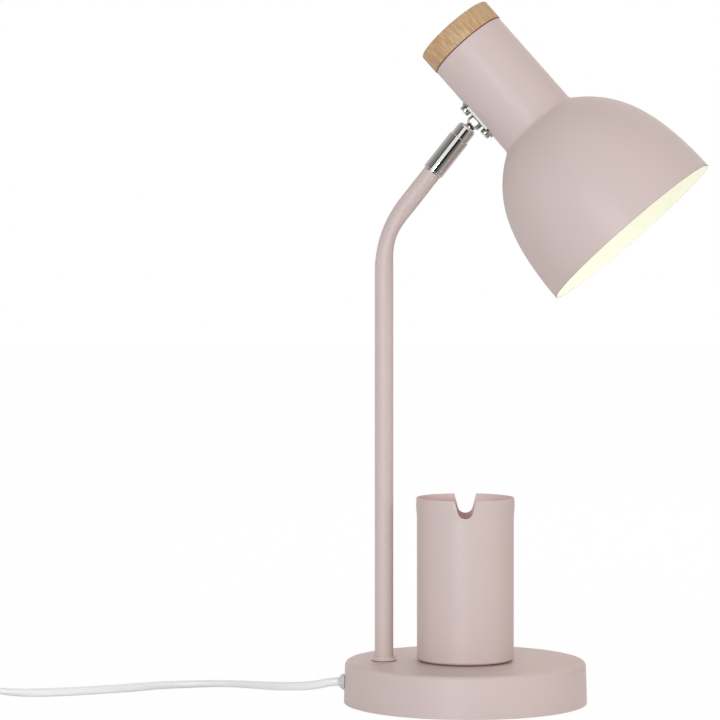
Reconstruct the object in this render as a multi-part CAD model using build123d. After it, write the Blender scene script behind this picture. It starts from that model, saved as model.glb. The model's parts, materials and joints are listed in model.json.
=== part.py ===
from build123d import *
import os
from math import acos, cos, degrees, pi, radians, sin, tan

# Desk lamp with a pen cup. Millimetres, +Z up.
# The origin is on the table, under the centre of the round base. The head reaches towards +X.

# Base
base_radius = 77.5
base_height = 26.8
base_draft = 0.8
base_top_round = 2.8
base_wall = 2.0
shell_lift = 0.6
pad_thickness = 1.5
pad_inset = 4.0
pad_edge = 0.4
plate_thickness = 1.5
weight_height = 13.0
weight_clearance = 1.0
boss_radius = 4.0
boss_inset = 15.5
boss_count = 3
part_clearance = 0.3

# Screws, as shank radius, head radius and head height
base_screw = (1.7, 3.4, 1.3)
cup_screw_size = (2.5, 4.8, 2.8)
plate_screw = (2.0, 3.5, 2.8)
switch_screw = (1.0, 1.9, 1.2)
screw_clearance = 0.1
drive_width = 1.0
drive_length_share = 1.1
drive_depth = 0.9

# Pen cup
cup_radius = 30.9
cup_wall = 1.0
cup_floor = 1.2
cup_gap = 1.0
cup_rim_height = 130.9
cup_foot_round = 1.4
cup_turn = -1.8
lip_height = 14.0
lip_peak = 4.6
lip_proud = 0.5
rim_round = 0.35
spacer_radius = 27.0
notch_width = 13.4
notch_depth = 11.2
notch_foot_width = 7.6
notch_foot_round = 4.7
notch_lip_round = 0.5
back_notch_sink = 1.3
cup_nut_height = 4.0
cup_nut_flats = 8.0
cup_nut_pocket = 6.5
screw_past_nut = 1.5

# Stem and arm
stem_inset = 25.65
stem_radius = 5.9
stem_wall = 0.8
bend_start = 275.03
bend_radius = 69.3
arm_angle = 38.2
arm_reach = 25.7
collar_radius = 8.0
collar_height = 3.2
nipple_radius = 5.0
nipple_bore = 3.0
nipple_in_stem = 20.0
stem_washer_radius = 9.0
stem_washer_thickness = 1.5
stem_nut_flats = 14.0
stem_nut_height = 4.0
nipple_below_nut = 1.2
running_fit = 0.05

# Sleeve and ball socket, along the arm from the sleeve's lower end
sleeve_radius = 6.85
sleeve_length = 28.0
sleeve_edge_round = 0.6
stem_in_sleeve = 10.0
sleeve_wall_start = 16.0
sleeve_wall_end = 19.0
spigot_radius = 5.0
spigot_neck_radius = 3.6
spigot_length = 15.5
clip_thickness = 1.2
clip_groove_depth = 0.6
clip_radius = 5.0
clip_slot = 3.0
spring_radius = 5.2
spring_thickness = 1.2
socket_radius = 6.1
socket_length = 9.0
socket_round = 1.5
ball_radius = 4.9
ball_depth = 3.5
seat_height = 2.8
seat_floor = 0.15
tilt_range = 17.0
wire_bore = 1.9

# Ball stud and saddle plates, along the stud from the ball's centre
stud_neck_radius = 2.8
stud_neck_start = 4.3
stud_shoulder_radius = 4.5
stud_rim_radius = 3.3
stud_bore = 1.35
hexagon_start = 6.6
hexagon_height = 3.4
hexagon_flats = 8.6
stud_shank_radius = 2.9
plate_length = 29.0
plate_width = 12.0
plate_sheet = 1.35
screw_spacing = 19.5
backing_depth = 3.1
backing_width = 10.0
stud_washer_thickness = 0.8
stud_nut_flats = 9.0
stud_nut_height = 2.6

# Head, along its own axis from the stud towards the mouth
neck_radius = 26.35
ball_to_axis = 37.8
head_tilt_at_rest = 10.85
head_swivel_at_rest = -8.0
shade_wall = 0.8
neck_top = -40.0
mouth_distance = 118.3
mouth_radius = 63.55
dome_radii = (207.0, 109.2, 70.6)
dome_turns = (9.4, 20.9)
cap_radius = 26.85
cap_height = 14.4
cap_round = 1.3
cap_spigot = 12.0
cap_spigot_clearance = 0.15
cap_recess_radius = 11.0
cap_recess_depth = 8.0

# Lamp holder and bulb
bridge_sheet = 1.4
bridge_skirt = 8.0
bridge_skirt_wall = 1.2
holder_nut_flats = 14.0
holder_nut_height = 3.0
holder_radius = 13.0
holder_cap_length = 14.0
holder_cap_round = 3.0
holder_body_length = 32.0
holder_body_radius = 14.0
holder_bore = 7.4
holder_bore_depth = 26.0
nipple_in_holder = 8.0
bulb_cap_radius = 6.9
bulb_cap_length = 25.0
bulb_tip_radius = 2.4
bulb_tip_length = 2.0
bulb_radius = 22.5
bulb_wall = 0.8
bulb_neck_radius = 8.2
bulb_to_cap = 26.0
contact_radius = 3.5
contact_thickness = 0.8

# Wires
wire_radius = 0.6
wire_spacing = 1.3
wire_turn = 4.0
head_wire_level = 16.0
head_wire_turn = 1.5
head_wire_run = 20.0

# Cord, grommet and clamp
cord_diameter = 5.4
grommet_stand = 2.6
cord_bore_clearance = 0.1
grommet_flange = 5.5
grommet_nose = 3.7
grommet_neck = 4.3
grommet_barb = 1.4
grommet_seat = 0.15
clamp_length = 10.0
clamp_width = 15.0
clamp_top = 18.0
sheath_in_base = 15.5
clamp_screw_radius = 1.5
clamp_screw_proud = 1.0
slot_clearance = 0.5
slot_past_stem = 14.0

# The seen stretch of the cord, laid by hand: distance from the bush, side and height of each corner
cord_lay = [
    (0.0, 0.0, 13.3),
    (5.6, 0.0, 13.3),
    (15.9, 2.4, 10.6),
    (28.4, 10.5, 8.7),
    (41.4, 22.0, 7.2),
    (53.9, 35.0, 6.0),
    (66.4, 47.2, 5.0),
    (77.4, 55.5, 4.1),
    (90.4, 60.3, 3.3),
    (104.3, 60.8, 2.8),
    (117.8, 57.2, 2.8),
    (129.7, 49.9, 2.8),
    (143.9, 42.0, 2.8),
    (158.9, 35.0, 2.8),
    (173.9, 28.8, 2.8),
    (189.9, 24.2, 2.8),
    (203.9, 22.4, 2.8),
    (215.9, 22.2, 3.6),
    (226.9, 23.0, 5.2),
    (237.9, 23.0, 5.2),
]
link_lay = [
    (0.0, 5.2),
    (10.0, 5.2),
    (22.0, 2.8),
    (33.6, 2.8),
]
corner_share = 0.45

# Coil of the spare cord, wound inwards on the table and outwards again on top
coil_inner_radius = 23.6
coil_turn_pitch = 6.0
coil_layer_rise = 6.0
coil_half_turns = 6
coil_lead = 5.4

# Tail and plug
tail_first_run = 10.1
tail_drop_run = 11.2
tail_last_run = 10.1
plug_entry_height = 6.5
plug_strain_length = 12.0
plug_strain_radii = (3.6, 5.4)
plug_length = 24.0
plug_width = 30.0
plug_height = 13.0
plug_corner = 6.0
plug_edge = 2.0
pin_radius = 2.0
pin_length = 19.0
pin_spacing = 19.0
pin_round = 0.8

# In-line switch
switch_length = 60.0
switch_width = 24.0
switch_height = 15.0
switch_corner = 7.0
switch_wall = 1.6
switch_split = 7.5
switch_edge = 2.2
rocker_length = 20.0
rocker_width = 10.0
rocker_clearance = 0.4
rocker_end_clearance = 0.7
rocker_axis_height = 12.0
rocker_proud = 1.6
rocker_depth = 5.0
rocker_tilt = 6.0
rocker_pin_radius = 1.0
cheek_length = 4.0
cheek_thickness = 1.2
switch_screw_spacing = 42.0

os.makedirs("parts", exist_ok=True)

# Levels and places that follow from the sizes above
plate_bottom = pad_thickness
plate_top = plate_bottom + plate_thickness
shell_ceiling = base_height - base_wall
inner_radius = base_radius - base_draft - base_wall
cup_bottom = base_height + cup_gap
stem_offset = base_radius - stem_inset
stem_center = (-stem_offset, 0)
bend_corner_height = bend_start + bend_radius * tan(radians(arm_angle / 2))
arm_direction = Vector(sin(radians(arm_angle)), 0, cos(radians(arm_angle)))
arm_side = Vector(cos(radians(arm_angle)), 0, -sin(radians(arm_angle)))
bend_corner = Vector(-stem_offset, 0, bend_corner_height)
corner_to_sleeve = bend_radius * tan(radians(arm_angle / 2)) + arm_reach
sleeve_foot = bend_corner + arm_direction * corner_to_sleeve
arm_length = sleeve_length + socket_length
ball_station = arm_length - ball_depth
ball_center = sleeve_foot + arm_direction * ball_station
arm_place = Location(Plane(origin=sleeve_foot, x_dir=arm_side, z_dir=arm_direction))
joint_place = Location(Plane(origin=ball_center, x_dir=arm_side, z_dir=arm_direction))
swivel_place = joint_place * Location((0, 0, 0), (0, 0, head_swivel_at_rest))
stud_place = swivel_place * Location((0, 0, 0), (0, head_tilt_at_rest, 0))
head_place = stud_place * Location((0, 0, ball_to_axis))
spigot_end = sleeve_length - spigot_length
mouth_opening = ball_depth * tan(radians(tilt_range)) + stud_rim_radius / cos(radians(tilt_range))
plate_outer = neck_radius + running_fit + plate_sheet
backing_outer = neck_radius - shade_wall - running_fit
backing_face = backing_outer - backing_depth
bridge_top = neck_top + cap_spigot
bridge_bottom = bridge_top + bridge_sheet
holder_mouth = bridge_bottom + holder_cap_length + holder_body_length
holder_bore_bottom = holder_mouth - holder_bore_depth
bulb_tip_end = holder_bore_bottom + contact_thickness + bulb_tip_length
bulb_cap_end = bulb_tip_end + bulb_cap_length
bulb_center = bulb_cap_end + bulb_to_cap
cord_radius = cord_diameter / 2
boss_circle = base_radius - boss_inset
cord_exit = base_radius + grommet_stand
cord_exit_height = cord_lay[0][2]
sheath_end = base_radius - sheath_in_base
cord_route = [(-cord_exit - away, side, height) for away, side, height in cord_lay]
switch_far_end = cord_route[-1][0] - switch_length
link_route = [(switch_far_end - away, cord_route[-1][1], height) for away, height in link_lay]


def tube(outer, inner, low, high):
    """A round sleeve about Z between two heights."""
    ring = Circle(outer) - Circle(inner)
    return Pos(0, 0, low) * extrude(ring, high - low)


def rod(radius, low, high):
    """A round bar about Z between two heights."""
    return Pos(0, 0, low) * extrude(Circle(radius), high - low)


def hexagon_nut(flats, hole, low, high):
    """A six-sided nut about Z."""
    outline = RegularPolygon(flats / 2, 6, major_radius=False) - Circle(hole)
    return Pos(0, 0, low) * extrude(outline, high - low)


def along_x(shape):
    """Turn a shape made about Z so that it lies about X."""
    return Rot(0, 90, 0) * shape


def pan_screw(size, length):
    """A pan-head screw with its seat at height 0, its shank down and a crossed drive."""
    shank_radius, head_radius, head_height = size
    shank = rod(shank_radius, -length, 0)
    head = rod(head_radius, 0, head_height)
    head = fillet(head.edges().group_by(Axis.Z)[-1], head_height * 0.45)
    blade = Box(head_radius * drive_length_share, drive_width, drive_depth * 2)
    drive = Pos(0, 0, head_height) * (blade + Rot(0, 0, 90) * blade)
    return shank + head - drive


def boss_places():
    """Where the three screw bosses stand, clear of the stem."""
    return PolarLocations(boss_circle, boss_count)


def base_shell():
    """Painted shell: a flat top with a rounded edge, a slightly tapering side and three bosses."""
    top_radius = base_radius - base_draft
    outer = Polyline((0, shell_lift), (base_radius, shell_lift), (top_radius, base_height),
                     (0, base_height), (0, shell_lift))
    body = revolve(Plane.XZ * make_face(outer), Axis.Z)
    body = fillet(body.edges().group_by(Axis.Z)[-1], base_top_round)
    body -= rod(inner_radius, shell_lift, shell_ceiling)
    boss = tube(boss_radius, base_screw[0], plate_top, shell_ceiling)
    for place in boss_places():
        body += place * boss
    body -= Pos(*stem_center) * rod(nipple_radius + screw_clearance, shell_ceiling, base_height)
    body -= rod(cup_screw_size[0] + screw_clearance, shell_ceiling, base_height)
    outlet = along_x(rod(grommet_neck + screw_clearance, -base_radius, -inner_radius + base_wall))
    body -= Pos(0, 0, cord_exit_height) * outlet
    return body


def base_weight():
    """Cast disc, with room for the bosses, the nuts and the lead's way to the stem."""
    top = plate_top + weight_height
    disc = rod(inner_radius - base_wall, plate_top, top)
    for place in boss_places():
        disc -= place * rod(boss_radius + weight_clearance, plate_top, top)
    slot_width = clamp_width + 2 * slot_clearance
    slot_end = stem_offset - slot_past_stem
    slot = Box(base_radius - slot_end, slot_width, weight_height)
    disc -= Pos(-(base_radius + slot_end) / 2, 0, (plate_top + top) / 2) * slot
    disc -= rod(cup_nut_pocket, plate_top, top)
    return fillet(disc.edges().filter_by(GeomType.CIRCLE).group_by(Axis.Z)[-1].sort_by(SortBy.LENGTH)[-1], 1.0)


def base_plate():
    """Steel bottom that closes the shell and carries the weight."""
    disc = rod(inner_radius - part_clearance, plate_bottom, plate_top)
    for place in boss_places():
        disc -= place * rod(base_screw[0] + screw_clearance, plate_bottom, plate_top)
    return disc


def foot_pad():
    """Soft disc that the lamp stands on, open where the screw heads are."""
    disc = rod(base_radius - pad_inset, 0, pad_thickness)
    disc = fillet(disc.edges().group_by(Axis.Z)[0], pad_edge)
    for place in boss_places():
        disc -= place * rod(base_screw[1] + part_clearance, 0, pad_thickness)
    return disc


def base_screws():
    """Three screws from below into the bosses."""
    length = shell_ceiling - plate_bottom - base_wall
    screw = Pos(0, 0, plate_bottom) * Rot(180, 0, 0) * pan_screw(base_screw, length)
    return [place * screw for place in boss_places()]


def cup_outline():
    """Half section of the pen cup: straight wall, a soft lip and a rounded foot."""
    foot = cup_foot_round
    foot_mid = foot * (1 - sin(pi / 4))
    lip_start = cup_rim_height - lip_height
    widest = cup_rim_height - lip_peak
    rim_corner = rim_round * (1 - cos(pi / 4))
    rim_outer = cup_radius + lip_proud * 0.6
    rim_start = cup_rim_height - rim_round
    inner = cup_radius - cup_wall
    floor_top = cup_bottom + cup_floor
    return [
        Line((0, cup_bottom), (cup_radius - foot, cup_bottom)),
        ThreePointArc((cup_radius - foot, cup_bottom), (cup_radius - foot_mid, cup_bottom + foot_mid),
                      (cup_radius, cup_bottom + foot)),
        Line((cup_radius, cup_bottom + foot), (cup_radius, lip_start)),
        Spline((cup_radius, lip_start), (cup_radius + lip_proud, widest), tangents=((0, 1), (0, 1))),
        ThreePointArc((cup_radius + lip_proud, widest), (cup_radius + lip_proud * 0.9, (widest + rim_start) / 2),
                      (rim_outer, rim_start)),
        ThreePointArc((rim_outer, rim_start), (rim_outer - rim_corner, cup_rim_height - rim_corner),
                      (rim_outer - rim_round, cup_rim_height)),
        Polyline((rim_outer - rim_round, cup_rim_height), (inner, cup_rim_height), (inner, floor_top),
                 (0, floor_top), (0, cup_bottom)),
    ]


def notch_face(sink=0.0):
    """Outline of a notch, seen from the front, with its upper corners rounded into the rim."""
    reach = notch_width
    half = notch_width / 2 + sink * (notch_width - notch_foot_width) / 2 / notch_depth
    low = -notch_depth - sink
    points = [(-reach, notch_lip_round * 3), (-reach, 0), (-half, 0),
              (-notch_foot_width / 2, low), (notch_foot_width / 2, low),
              (half, 0), (reach, 0), (reach, notch_lip_round * 3)]
    face = make_face(Polyline(*points, close=True))
    corners = face.vertices().sort_by(Axis.Y)
    face = fillet(corners[:2], notch_foot_round)
    lips = [v for v in face.vertices() if abs(v.Y) < 1e-6 and abs(v.X) < reach - 1e-6]
    return fillet(lips, notch_lip_round)


def pen_cup():
    """Open cup with a U notch at the front and a slightly deeper one at the back."""
    body = revolve(Plane.XZ * make_face(cup_outline()), Axis.Z)
    front = extrude(Plane.XZ * notch_face(), cup_radius * 1.2)
    back = extrude(Plane.XZ * notch_face(back_notch_sink), -cup_radius * 1.2)
    body -= Pos(0, 0, cup_rim_height) * Rot(0, 0, cup_turn) * (front + back)
    body -= rod(cup_screw_size[0] + screw_clearance, cup_bottom, cup_bottom + cup_floor)
    return body


def cup_spacer():
    """Thin disc that leaves a dark line under the cup."""
    return tube(spacer_radius, cup_screw_size[0] + screw_clearance, base_height, cup_bottom)


def cup_screw():
    """Screw through the cup's floor and the shell."""
    seat = cup_bottom + cup_floor
    length = seat - shell_ceiling + cup_nut_height + screw_past_nut
    return Pos(0, 0, seat) * pan_screw(cup_screw_size, length)


def cup_nut():
    return hexagon_nut(cup_nut_flats, cup_screw_size[0] + running_fit, shell_ceiling - cup_nut_height, shell_ceiling)


def stem():
    """Bent tube, from the base's top into the sleeve."""
    end = sleeve_foot + arm_direction * stem_in_sleeve
    path = FilletPolyline((-stem_offset, 0, base_height), bend_corner, end, radius=bend_radius)
    ring = Pos(*stem_center, base_height) * (Circle(stem_radius) - Circle(stem_radius - stem_wall))
    return sweep(ring, path=path)


def stem_collar():
    """Flared ring round the foot of the stem."""
    inner = stem_radius + running_fit
    top = base_height + collar_height
    waist = stem_radius + 0.9
    profile = [
        Polyline((waist, top), (inner, top), (inner, base_height), (collar_radius, base_height),
                 (collar_radius, base_height + 0.8)),
        ThreePointArc((collar_radius, base_height + 0.8), (waist + 0.35, base_height + collar_height * 0.55),
                      (waist, top)),
    ]
    return Pos(*stem_center) * revolve(Plane.XZ * make_face(profile), Axis.Z)


def stem_nipple():
    """Hollow threaded tube, fixed in the stem's lower end."""
    low = shell_ceiling - stem_washer_thickness - stem_nut_height - nipple_below_nut
    return Pos(*stem_center) * tube(nipple_radius, nipple_bore, low, base_height + nipple_in_stem)


def stem_washer():
    low = shell_ceiling - stem_washer_thickness
    return Pos(*stem_center) * tube(stem_washer_radius, nipple_radius + screw_clearance, low, shell_ceiling)


def stem_nut():
    high = shell_ceiling - stem_washer_thickness
    nut = hexagon_nut(stem_nut_flats, nipple_radius + running_fit, high - stem_nut_height, high)
    return Pos(*stem_center) * nut


def arm_sleeve():
    """Chrome sleeve: the stem enters below, the socket's spigot turns above."""
    body = rod(sleeve_radius, 0, sleeve_length)
    body = fillet(body.edges().filter_by(GeomType.CIRCLE), sleeve_edge_round)
    body -= rod(stem_radius + running_fit, 0, stem_in_sleeve)
    body -= rod(spring_radius + screw_clearance, stem_in_sleeve, sleeve_wall_start)
    body -= rod(spigot_neck_radius + running_fit, sleeve_wall_start, sleeve_wall_end)
    body -= rod(spigot_radius + running_fit, sleeve_wall_end, sleeve_length)
    return arm_place * body


def ball_socket():
    """Narrower chrome end that holds the ball and turns on the sleeve."""
    head = rod(socket_radius, sleeve_length, arm_length)
    head = fillet(head.edges().group_by(Axis.Z)[-1], socket_round)
    body = head + rod(spigot_radius, sleeve_wall_end + part_clearance, sleeve_length)
    body += rod(spigot_neck_radius, spigot_end, sleeve_wall_end + part_clearance)
    groove_low = spigot_end + clip_thickness / 2
    groove = tube(spigot_radius, spigot_neck_radius - clip_groove_depth, groove_low, groove_low + clip_thickness)
    body -= groove
    body -= rod(wire_bore, spigot_end, sleeve_length + 1)
    seat_low = ball_station - ball_radius - running_fit - seat_floor
    body -= rod(ball_radius + running_fit, seat_low, ball_station)
    body -= Pos(0, 0, ball_station) * Sphere(ball_radius + running_fit)
    body -= rod(mouth_opening, ball_station, arm_length)
    return arm_place * body


def ball_seat():
    """Plastic cup under the ball, which gives the joint its friction."""
    low = ball_station - ball_radius - running_fit - seat_floor
    body = rod(ball_radius, low, low + seat_height)
    body -= Pos(0, 0, ball_station) * Sphere(ball_radius + running_fit)
    body -= rod(wire_bore, low, low + seat_height)
    return arm_place * body


def socket_clip():
    """Open ring in the spigot's groove, which keeps the socket on the sleeve."""
    low = spigot_end + clip_thickness / 2
    ring = tube(clip_radius, spigot_neck_radius - clip_groove_depth + running_fit, low, low + clip_thickness)
    ring -= Pos(clip_radius / 2, 0, low + clip_thickness / 2) * Box(clip_radius, clip_slot, clip_thickness)
    return arm_place * ring


def socket_spring():
    """Dished spring ring between the clip and the sleeve's inner wall."""
    low = spigot_end + clip_thickness * 1.5
    ring = tube(spring_radius, spigot_neck_radius + screw_clearance, low, low + spring_thickness)
    return arm_place * ring


def ball_stud():
    """Ball, thin neck, hexagon and hollow shank in one turned piece."""
    shank_end = ball_to_axis - backing_face + stud_washer_thickness + stud_nut_height + 0.6
    shoulder = hexagon_start - stud_neck_start
    body = Sphere(ball_radius) + rod(stud_neck_radius, 0, stud_neck_start)
    body += Pos(0, 0, stud_neck_start + shoulder / 2) * Cone(stud_neck_radius, stud_shoulder_radius, shoulder)
    body += hexagon_nut(hexagon_flats, stud_bore, hexagon_start, hexagon_start + hexagon_height)
    body += rod(stud_shank_radius, hexagon_start + hexagon_height, shank_end)
    body -= rod(stud_bore, -ball_radius, shank_end)
    return stud_place * body


def stud_washer():
    low = ball_to_axis - backing_face + running_fit
    ring = tube(stud_nut_flats / 2, stud_shank_radius + running_fit, low, low + stud_washer_thickness)
    return stud_place * ring


def stud_nut():
    low = ball_to_axis - backing_face + running_fit + stud_washer_thickness
    return stud_place * hexagon_nut(stud_nut_flats, stud_shank_radius + running_fit, low, low + stud_nut_height)


def saddle(outer, inner, length, width, hole):
    """A curved strip on the side of the neck that faces the ball, with three holes."""
    ring = Circle(outer) - Circle(inner)
    strip = extrude(Plane.YZ * ring, length / 2, both=True)
    outline = extrude(SlotOverall(length, width), outer)
    body = strip & (Rot(180, 0, 0) * outline)
    body -= Rot(180, 0, 0) * rod(hole, 0, outer + 1)
    for side in (-1, 1):
        body -= Pos(side * screw_spacing / 2, 0, 0) * Rot(180, 0, 0) * rod(plate_screw[0] + screw_clearance, 0, outer + 1)
    return body


def joint_plate():
    body = saddle(plate_outer, neck_radius + running_fit, plate_length, plate_width, stud_shank_radius + screw_clearance)
    return head_place * body


def backing_plate():
    """Curved block inside the neck, flat where the stud's nut turns on it."""
    body = extrude(Plane.YZ * Circle(backing_outer), plate_length / 2, both=True)
    block = Box(plate_length, backing_width, backing_depth)
    body = body & Pos(0, 0, -(backing_face + backing_outer) / 2) * block
    body -= Rot(180, 0, 0) * rod(stud_shank_radius + screw_clearance, 0, neck_radius)
    for side in (-1, 1):
        hole = Rot(180, 0, 0) * rod(plate_screw[0] + screw_clearance, 0, neck_radius)
        body -= Pos(side * screw_spacing / 2, 0, 0) * hole
    return head_place * body


def plate_screws():
    """Two pan-head screws that hold the saddle plates to the neck."""
    length = plate_outer - backing_face + 1.0
    screw = Pos(0, 0, -plate_outer) * Rot(180, 0, 0) * pan_screw(plate_screw, length)
    return [head_place * Pos(side * screw_spacing / 2, 0, 0) * screw for side in (-1, 1)]


def dome_arcs(inset):
    """The dome's three tangent arcs from the crease to the mouth, set in by a wall."""
    centers = [(mouth_distance, mouth_radius - dome_radii[0])]
    for turn, outer, nearer in zip(dome_turns, dome_radii, dome_radii[1:]):
        x, y = centers[-1]
        step = outer - nearer
        centers.append((x - step * sin(radians(turn)), y + step * cos(radians(turn))))
    crease = degrees(acos((neck_radius - inset - centers[-1][1]) / (dome_radii[-1] - inset)))
    turns = [0, *dome_turns, crease]
    arcs = []
    for (x, y), radius, start, end in zip(centers, dome_radii, turns, turns[1:]):
        angles = (end, (start + end) / 2, start)
        points = [(x - (radius - inset) * sin(radians(a)), y + (radius - inset) * cos(radians(a))) for a in angles]
        arcs.append(ThreePointArc(*points))
    return arcs[::-1]


def shade():
    """Neck and dome spun in one piece, open at both ends."""
    outer = dome_arcs(0)
    inner = dome_arcs(shade_wall)
    neck_inner = neck_radius - shade_wall
    profile = [
        Line((neck_top, neck_radius), outer[0] @ 0),
        *outer,
        Line(outer[-1] @ 1, inner[-1] @ 1),
        *inner,
        Polyline(inner[0] @ 0, (neck_top, neck_inner), (neck_top, neck_radius)),
    ]
    body = revolve(make_face(profile), Axis.X)
    body -= Rot(180, 0, 0) * rod(stud_shank_radius + part_clearance, 0, neck_radius + 1)
    for side in (-1, 1):
        hole = Rot(180, 0, 0) * rod(plate_screw[0] + screw_clearance, 0, neck_radius + 1)
        body -= Pos(side * screw_spacing / 2, 0, 0) * hole
    return head_place * body


def wood_cap():
    """Turned wooden cap with a spigot in the neck."""
    cap = rod(cap_radius, neck_top - cap_height, neck_top)
    cap = fillet(cap.edges().group_by(Axis.Z)[0], cap_round)
    spigot_end_level = neck_top + cap_spigot
    cap += rod(neck_radius - shade_wall - cap_spigot_clearance, neck_top, spigot_end_level)
    cap -= rod(cap_recess_radius, spigot_end_level - cap_recess_depth, spigot_end_level)
    return head_place * along_x(cap)


def holder_bridge():
    """Sheet disc with a skirt that grips the inside of the neck."""
    radius = neck_radius - shade_wall - screw_clearance
    body = tube(radius, nipple_radius + screw_clearance, bridge_top, bridge_bottom)
    body += tube(radius, radius - bridge_skirt_wall, bridge_bottom, bridge_bottom + bridge_skirt)
    return head_place * along_x(body)


def holder_nipple():
    body = tube(nipple_radius, nipple_bore, bridge_top - holder_nut_height - 1, bridge_bottom + nipple_in_holder)
    return head_place * along_x(body)


def holder_nut():
    body = hexagon_nut(holder_nut_flats, nipple_radius + running_fit, bridge_top - holder_nut_height, bridge_top)
    return head_place * along_x(body)


def holder_cap():
    """Upper half of the lamp holder, screwed on the nipple."""
    body = rod(holder_radius, bridge_bottom, bridge_bottom + holder_cap_length)
    body = fillet(body.edges().group_by(Axis.Z)[0], holder_cap_round)
    body -= rod(nipple_radius + running_fit, bridge_bottom, bridge_bottom + nipple_in_holder)
    return head_place * along_x(body)


def holder_body():
    """Lower half of the lamp holder, bored for the bulb's screw cap."""
    low = bridge_bottom + holder_cap_length
    body = tube(holder_body_radius, holder_bore, holder_bore_bottom, holder_mouth)
    body += rod(holder_body_radius, low, holder_bore_bottom)
    return head_place * along_x(body)


def holder_contact():
    """Springy brass tongue under the bulb's tip."""
    body = rod(contact_radius, holder_bore_bottom, holder_bore_bottom + contact_thickness)
    return head_place * along_x(body)


def bulb_cap():
    body = rod(bulb_cap_radius, bulb_tip_end, bulb_cap_end)
    return head_place * along_x(body)


def bulb_tip():
    body = rod(bulb_tip_radius, holder_bore_bottom + contact_thickness, bulb_tip_end)
    return head_place * along_x(body)


def bulb_glass():
    """Opal round bulb, hollow and open into its screw cap."""
    body = Pos(0, 0, bulb_center) * Sphere(bulb_radius)
    body += rod(bulb_neck_radius, bulb_cap_end, bulb_center)
    body -= Pos(0, 0, bulb_center) * Sphere(bulb_radius - bulb_wall)
    body -= rod(bulb_neck_radius - bulb_wall, bulb_cap_end, bulb_center)
    return head_place * along_x(body)


def stem_wires():
    """Two cores from the end of the sheath, up the stem and into the socket."""
    end_station = ball_station - ball_radius - 1
    top = sleeve_foot + arm_direction * end_station
    wires = []
    for side in (-1, 1):
        y = side * wire_spacing / 2
        path = FilletPolyline((-sheath_end, y, cord_exit_height), (-stem_offset, y, cord_exit_height),
                              (-stem_offset, y, bend_corner_height), (top.X, y, top.Z),
                              radius=[wire_turn, bend_radius])
        section = Plane(origin=path @ 0, z_dir=path % 0) * Circle(wire_radius)
        wires.append(sweep(section, path=path))
    return wires


def head_wires():
    """The same two cores, from the ball through the stud to the lamp holder."""
    start = -ball_to_axis - ball_radius * 0.5
    wires = []
    for side in (-1, 1):
        y = side * wire_spacing / 2
        path = FilletPolyline((0, y, start), (0, y, -head_wire_level), (-head_wire_run, y, -head_wire_level),
                              (-head_wire_run, y, -holder_radius), radius=head_wire_turn)
        section = Plane(origin=path @ 0, z_dir=path % 0) * Circle(wire_radius)
        wires.append(head_place * sweep(section, path=path))
    return wires


def cord_grommet():
    """Tapered bush in the shell's left side, bored for the cord."""
    bore = cord_radius + cord_bore_clearance
    wall_outer = base_radius - grommet_seat
    barb = inner_radius - part_clearance * 2
    profile = Polyline((-cord_exit, bore), (-cord_exit, grommet_nose), (-wall_outer, grommet_flange),
                       (-wall_outer, grommet_neck), (-barb, grommet_neck),
                       (-barb, grommet_flange), (-barb + grommet_barb, grommet_flange),
                       (-barb + grommet_barb, bore), close=True)
    return Pos(0, 0, cord_exit_height) * revolve(make_face(profile), Axis.X)


def cord_clamp():
    """Block on the steel bottom that grips the lead behind the grommet."""
    length = clamp_length
    start = sheath_end + part_clearance
    block = Box(length, clamp_width, clamp_top - plate_top)
    block = Pos(-start - length / 2, 0, (clamp_top + plate_top) / 2) * block
    block -= Pos(0, 0, cord_exit_height) * along_x(rod(cord_radius + cord_bore_clearance, -start - length, -start))
    hole_low = cord_exit_height + cord_radius
    block -= Pos(-start - length / 2, 0) * rod(clamp_screw_radius + running_fit, hole_low, clamp_top)
    return block


def clamp_screw():
    low = cord_exit_height + cord_radius + cord_bore_clearance
    place = Pos(-sheath_end - part_clearance - clamp_length / 2, 0)
    return place * rod(clamp_screw_radius, low, clamp_top + clamp_screw_proud)


def cord_inner():
    """The sheathed lead from the bush to the clamp."""
    return Pos(0, 0, cord_exit_height) * along_x(rod(cord_radius, -cord_exit, -sheath_end))


def corner_radii(points):
    """The largest arc that the two runs at each corner allow."""
    vectors = [Vector(*p) for p in points]
    radii = []
    for before, here, after in zip(vectors, vectors[1:], vectors[2:]):
        first = here - before
        second = after - here
        turn = first.get_angle(second)
        radii.append(corner_share * min(first.length, second.length) / tan(radians(turn / 2)))
    return radii


def cord_tube(name, points):
    """A round tube along straight runs joined by tangent arcs, with its measures printed."""
    radii = corner_radii(points)
    path = FilletPolyline(*points, radius=radii)
    section = Plane(origin=path @ 0, z_dir=path % 0) * Circle(cord_radius)
    body = sweep(section, path=path)
    expected = pi * cord_radius ** 2 * path.length
    print(name, "length", round(path.length, 1), "volume ratio", round(body.volume / expected, 4),
          "least radius", round(min(radii), 1))
    return body, path.length


def coil_points():
    """The coil's half turns as start, middle and end points, from the table to the upper layer."""
    x, y, z = link_route[-1]
    x -= coil_lead
    steps = list(range(coil_half_turns, 0, -1)) + [0] + list(range(1, coil_half_turns + 1))
    turns = []
    heading = 1
    for step in steps:
        radius = coil_inner_radius + step * coil_turn_pitch / 2
        rise = coil_layer_rise if step == 0 else 0
        start = Vector(x, y, z)
        end = Vector(x, y + heading * 2 * radius, z + rise)
        reach = (end - start).length / 2
        middle = (start + end) * 0.5 + Vector(-heading * reach, 0, 0)
        turns.append((start, middle, end))
        x, y, z = end.X, end.Y, end.Z
        heading = -heading
    return turns


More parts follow.
